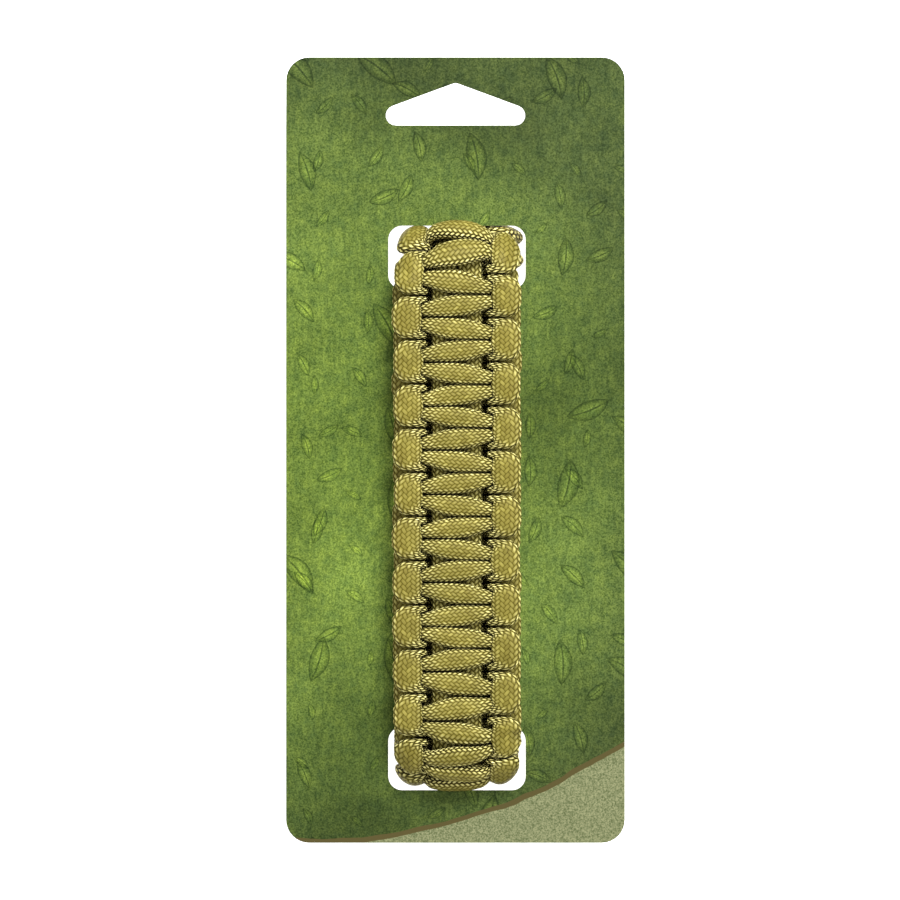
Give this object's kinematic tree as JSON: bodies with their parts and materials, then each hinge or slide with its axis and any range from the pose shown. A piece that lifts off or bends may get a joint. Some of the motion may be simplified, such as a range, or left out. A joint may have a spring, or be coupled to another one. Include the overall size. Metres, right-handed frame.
{
  "type": "paracord bracelet on a display card",
  "caption": "Cord bracelet knotted round a filler cord, closed in a loop by a clasp and slipped through the cutouts of a plain hanging card.",
  "frame": {"origin": "middle of the card, on the surface that the back of the band rests on", "axes": "+Y towards the card's hang hole, +Z out of the card's printed face, +X to the right of the printed face"},
  "size_m": [0.069, 0.16, 0.0235],
  "materials": {
    "card": "glossy laminated print",
    "cord": "braided nylon sheath",
    "clasp": "fine moulded texture"
  },
  "bodies": {
    "root": {"display_card": "card", "core_cord": "cord", "outer_strand": "cord", "inner_strand": "cord", "clasp": "clasp"}
  },
  "joints": []
}
